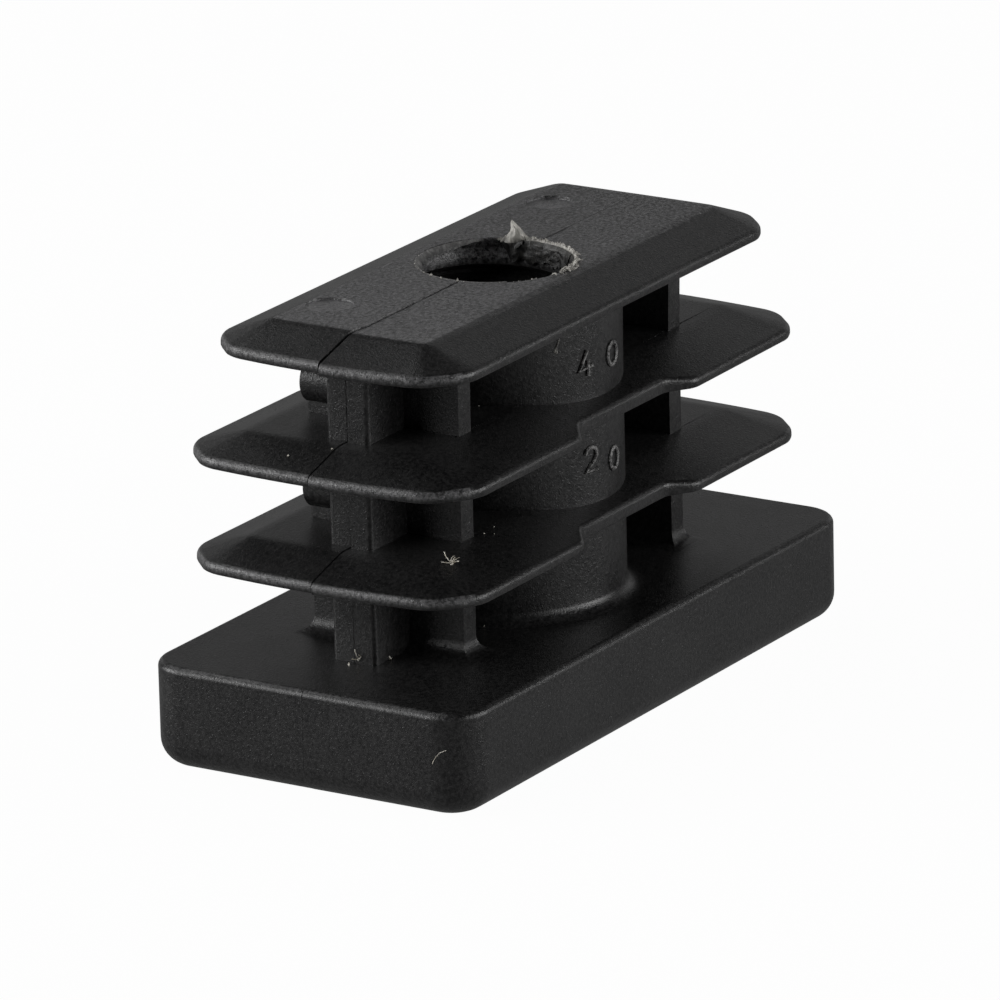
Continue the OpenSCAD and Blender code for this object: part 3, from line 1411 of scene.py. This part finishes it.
    def _crumbs(self, rng: Random) -> list[bmesh.types.BMesh]:
        """Makes the heap of crumbs on the right of the rim, and the loose ones round it."""
        solids = []
        for _ in range(64):
            deg = rng.gauss(-82.0, 8.0)
            size = rng.uniform(0.03, 0.085)
            place = self._at(deg, self.radius + rng.uniform(-0.10, 0.40), self.z + size * rng.uniform(0.2, 1.2))
            solids.append(crumb(place, size, rng))
        for _ in range(9):
            deg = rng.gauss(-76.0, 11.0)
            start = self._at(deg, self.radius + rng.uniform(-0.05, 0.2), self.z + 0.02)
            way = self._at(deg + rng.uniform(-70.0, 70.0), 1.0, rng.uniform(0.1, 1.0)) * rng.uniform(0.2, 0.45)
            line = [start + way * s + UP * 0.1 * math.sin(3.0 * s) for s in (0.0, 0.35, 0.7, 1.0)]
            solids.append(ribbon(line, (0.14, 0.12, 0.08, 0.03), UP.cross(way), self.thick))
        for deg, size in self.loose:
            solids.append(crumb(self._at(deg, self.radius - 0.02, self.z + size * 0.5), size, rng))
        for _ in range(18):
            size = rng.uniform(0.02, 0.045)
            place = self._at(rng.uniform(105.0, 262.0), self.radius - rng.uniform(0.02, 0.12), self.z - 0.02)
            solids.append(crumb(place, size, rng))
        return solids


@dataclass
class Dust:
    """Loose specks and fibres that lie on the moulding."""

    specks: Sequence[tuple[float, float, float, float]] = (
        (-15.30, 0.05, 5.84, 0.07),
        (-14.86, -0.28, 6.02, 0.07),
        (-13.59, -1.40, 5.90, 0.10),
        (-6.80, -3.02, 5.94, 0.035),
        (-6.42, -2.82, 17.95, 0.04),
        (-9.58, -4.91, 12.13, 0.035),
        (-9.19, -5.28, 12.07, 0.04),
        (-8.35, -4.77, 12.14, 0.035),
        (-16.05, 0.22, 17.84, 0.04),
        (-17.21, 2.20, 17.50, 0.05),
    )
    fibre_hub: tuple[float, float, float] = (-14.24, -5.82, 11.98)
    seed: int = 5

    def build(self, finish: Finish) -> bpy.types.Object:
        """Makes the specks, the star of fibres and the hair as one piece.

        Args:
            finish: What the dust looks like.

        Returns:
            The piece.
        """
        rng = Random(self.seed)
        solids = [crumb(Vector(speck[:3]), speck[3], rng) for speck in self.specks]
        hub = Vector(self.fibre_hub)
        for deg, tilt, length in ((75.0, 40.0, 0.75), (20.0, 18.0, 0.65), (-35.0, 25.0, 0.5), (140.0, 12.0, 0.6),
                                  (205.0, 10.0, 0.75), (265.0, 20.0, 0.5), (310.0, 55.0, 0.35)):
            solids.append(self._fibre(hub, deg, tilt, length))
        solids.append(crumb(hub, 0.09, rng))
        tuft = Vector(self.specks[1][:3])
        for deg, tilt, length in ((110.0, 68.0, 0.6), (215.0, 48.0, 0.45), (-60.0, 74.0, 0.5), (160.0, 15.0, 0.5)):
            solids.append(self._fibre(tuft, deg, tilt, length))
        hair = [(-19.82, -8.68, 3.86), (-19.94, -8.36, 3.71), (-19.995, -8.15, 3.48), (-20.02, -7.99, 3.21),
                (-20.02, -7.975, 3.09)]
        solids.append(ribbon([Vector(point) for point in hair], [0.04] * 5, Vector((0.3, -0.4, 0.9)), 0.03))
        return finish_piece("dust", joined(solids), finish, crease_deg=60.0)

    def _fibre(self, hub: Vector, deg: float, tilt: float, length: float) -> bmesh.types.BMesh:
        """Makes one fibre of the star.

        Args:
            hub: Where it starts.
            deg: Its direction in plan.
            tilt: How steeply it rises, in degrees.
            length: Its length.

        Returns:
            The fibre.
        """
        a, e = math.radians(deg), math.radians(tilt)
        way = Vector((math.cos(a) * math.cos(e), math.sin(a) * math.cos(e), math.sin(e)))
        side = UP.cross(way).normalized()
        line = [hub + way * length * s + side * 0.12 * math.sin(3.0 * s) for s in (0.0, 0.25, 0.5, 0.75, 1.0)]
        return ribbon(line, (0.07, 0.06, 0.05, 0.04, 0.02), side + UP * 0.5, 0.04)


# The studio


@dataclass
class Lamp:
    """A soft square lamp that is turned to the cap."""

    name: str
    azimuth: float
    elevation: float
    strength: float
    size: float = 0.28
    distance: float = 0.60

    def build(self, target: Vector) -> None:
        """Hangs the lamp.

        Args:
            target: The point that it is turned to, in metres.
        """
        a, e = math.radians(self.azimuth), math.radians(self.elevation)
        out = Vector((math.cos(a) * math.cos(e), math.sin(a) * math.cos(e), math.sin(e)))
        data = bpy.data.lights.new(self.name, "AREA")
        data.shape = "SQUARE"
        data.size = self.size
        data.energy = self.strength * math.pi * self.size**2
        obj = bpy.data.objects.new(self.name, data)
        obj.location = target + out * self.distance
        obj.rotation_mode = "QUATERNION"
        obj.rotation_quaternion = out.to_track_quat("Z", "Y")
        bpy.context.scene.collection.objects.link(obj)


@dataclass
class Studio:
    """The camera, lamps, floor and surroundings."""

    azimuth: float = -58.02
    elevation: float = 17.52
    roll: float = -1.39
    distance: float = 500.5
    aim: tuple[float, float, float] = (0.0, 0.0, 12.0)
    rise: float = -1.37
    focal_px: float = 9364.0
    picture_px: float = 1000.0
    sensor: float = 36.0
    floor_size: float = 6.0
    floor_white: float = 0.975
    floor_glossy: float = 0.20
    horizon: float = 0.0
    zenith: float = 0.0
    lamps: Sequence[Lamp] = field(
        default_factory=lambda: (
            Lamp("right_front_lamp", -60.0, 14.0, 5.8),
            Lamp("front_lamp", -90.0, 14.0, 2.5),
            Lamp("right_lamp", 0.0, 14.0, 0.5),
            Lamp("high_right_lamp", 14.0, 34.0, 0.18),
            Lamp("back_panel", 30.0, 14.0, 0.25),
            Lamp("right_back_lamp", 60.0, 14.0, 0.45),
            Lamp("high_back_lamp", 90.0, 60.0, 1.85),
            Lamp("low_back_lamp", 120.0, 14.0, 8.3),
            Lamp("left_lamp", 150.0, 36.0, 2.3),
            Lamp("low_left_lamp", 150.0, 14.0, 1.75),
        )
    )

    def build(self) -> None:
        """Sets up the whole studio."""
        scene = bpy.context.scene
        scene.view_settings.view_transform = "Standard"
        self._camera()
        for lamp in self.lamps:
            lamp.build(Vector(self.aim) * MM)
        self._floor()
        self._world()

    def _camera(self) -> None:
        """Stands the camera where the picture was taken from."""
        a, e, r = (math.radians(v) for v in (self.azimuth, self.elevation, self.roll))
        back = Vector((math.sin(a) * math.cos(e), -math.cos(a) * math.cos(e), math.sin(e)))
        level = Vector((math.cos(a), math.sin(a), 0.0))
        tall = back.cross(level)
        right = math.cos(r) * level + math.sin(r) * tall
        up = -math.sin(r) * level + math.cos(r) * tall
        place = Vector(self.aim) + up * self.rise + back * self.distance
        data = bpy.data.cameras.new("camera")
        data.sensor_width = self.sensor
        data.lens = self.focal_px * self.sensor / self.picture_px
        data.clip_start = 0.01
        data.clip_end = 50.0
        obj = bpy.data.objects.new("camera", data)
        turn = Matrix((right, up, back)).transposed().to_4x4()
        obj.matrix_world = Matrix.Translation(place * MM) @ turn
        bpy.context.scene.collection.objects.link(obj)
        bpy.context.scene.camera = obj

    def _floor(self) -> None:
        """Lays the pale floor."""
        bm = bmesh.new()
        bmesh.ops.create_grid(bm, x_segments=1, y_segments=1, size=self.floor_size / 2)
        floor = mesh_object("floor", bm)
        material = bpy.data.materials.new("pale_floor")
        material.use_nodes = True
        shader = Shader(material.node_tree)
        rays = shader.add("ShaderNodeLightPath")
        camera = Value(shader, rays.outputs["Is Camera Ray"])
        glossy = Value(shader, rays.outputs["Is Glossy Ray"])
        clear = Value(shader, rays.outputs["Is Transmission Ray"])
        paper = shader.add("ShaderNodeBsdfDiffuse", {}, {"Color": colour(0.9, 0.9, 0.9)})
        glow = camera + (glossy + clear) * self.floor_glossy
        white = shader.add("ShaderNodeEmission", {}, {"Color": colour(1.0, 1.0, 1.0), "Strength": glow})
        factor = camera * self.floor_white + glossy + clear
        mixed = shader.add("ShaderNodeMixShader", {}, {0: factor, 1: paper.outputs[0], 2: white.outputs[0]})
        shader.add("ShaderNodeOutputMaterial", {}, {"Surface": mixed.outputs[0]})
        floor.data.materials.append(material)
        floor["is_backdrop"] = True

    def _world(self) -> None:
        """Surrounds the set with light that is palest at the horizon."""
        world = bpy.data.worlds.new("surroundings")
        world.use_nodes = True
        bpy.context.scene.world = world
        shader = Shader(world.node_tree)
        way = shader.add("ShaderNodeTexCoord").outputs["Generated"]
        parts = shader.add("ShaderNodeSeparateXYZ", {}, {"Vector": way})
        height = Value(shader, parts.outputs["Z"]).clamp(0.05, 0.75)
        pale = colour(self.horizon, self.horizon, self.horizon)
        deep = colour(self.zenith, self.zenith, self.zenith)
        sky = shader.add("ShaderNodeBackground", {}, {"Color": shader.blend(height, pale, deep), "Strength": 1.0})
        shader.add("ShaderNodeOutputWorld", {}, {"Surface": sky.outputs[0]})


def main() -> None:
    """Builds the cap and its studio, and reports each piece."""
    logging.basicConfig(level=logging.INFO, format="%(name)s: %(message)s")
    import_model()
    cad_low, cad_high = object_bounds()
    low, high = (corner / MM for corner in (cad_low, cad_high))

    head = Head(length=high.x - low.x, width=high.y - low.y)
    lead_rise = 1.64
    pitch = 5.78
    lead_z = high.z - lead_rise
    grip = {"length": 37.4, "width": 17.8, "rise": 1.46, "relieved": True,
            "cut": 2.1, "flat_l": 31.4, "flat_w": 10.9, "flat_shift": 0.5}
    fins = (
        Fin(z=lead_z - 2 * pitch, curl=0.12, **grip),
        Fin(z=lead_z - pitch, curl=0.22, **grip),
        Fin(z=lead_z, curl=0.12, length=34.8, width=15.5, rise=lead_rise, relieved=False),
    )
    core = Core(
        foot_z=head.height,
        top_z=lead_z + fins[-1].rim_h,
        pad_zs=[fin.z - 2.6 for fin in fins[1:]],
    )
    parting = PartingLine(head_h=head.height, lead_z=lead_z, top_z=high.z)
    plastic = MouldedPolyethylene()
    CapBody(head, fins, core, ThreadedHole(height=high.z), parting).build(plastic)
    # The figures' plastic, with a paler painted highlight colour and less roughness.
    figure_sheen_plastic = MouldedPolyethylene(
        name="figure_sheen_polyethylene", painted_sheen=colour(0.34, 0.335, 0.33), roughness=0.18
    )
    figures = SizeFigures(core.boss_d, parting.fin_slip)
    figures.build(figure_sheen_plastic)
    whitened = TornPlastic()
    figures.build_nick(whitened)
    torn = TornRim(z=high.z)
    torn.build(whitened)
    hidden_tear = TornPlastic(
        "torn_dark", dark=colour(0.005, 0.005, 0.005), white=colour(0.09, 0.088, 0.082), white_from=23.6
    )
    torn.build_wall(hidden_tear)
    torn.build_skirt(TornPlastic("torn_skirt", dark=colour(0.025, 0.025, 0.025), white=colour(0.27, 0.265, 0.26)))
    Dust().build(PaleDust())
    Studio().build()


if __name__ == "__main__":
    main()
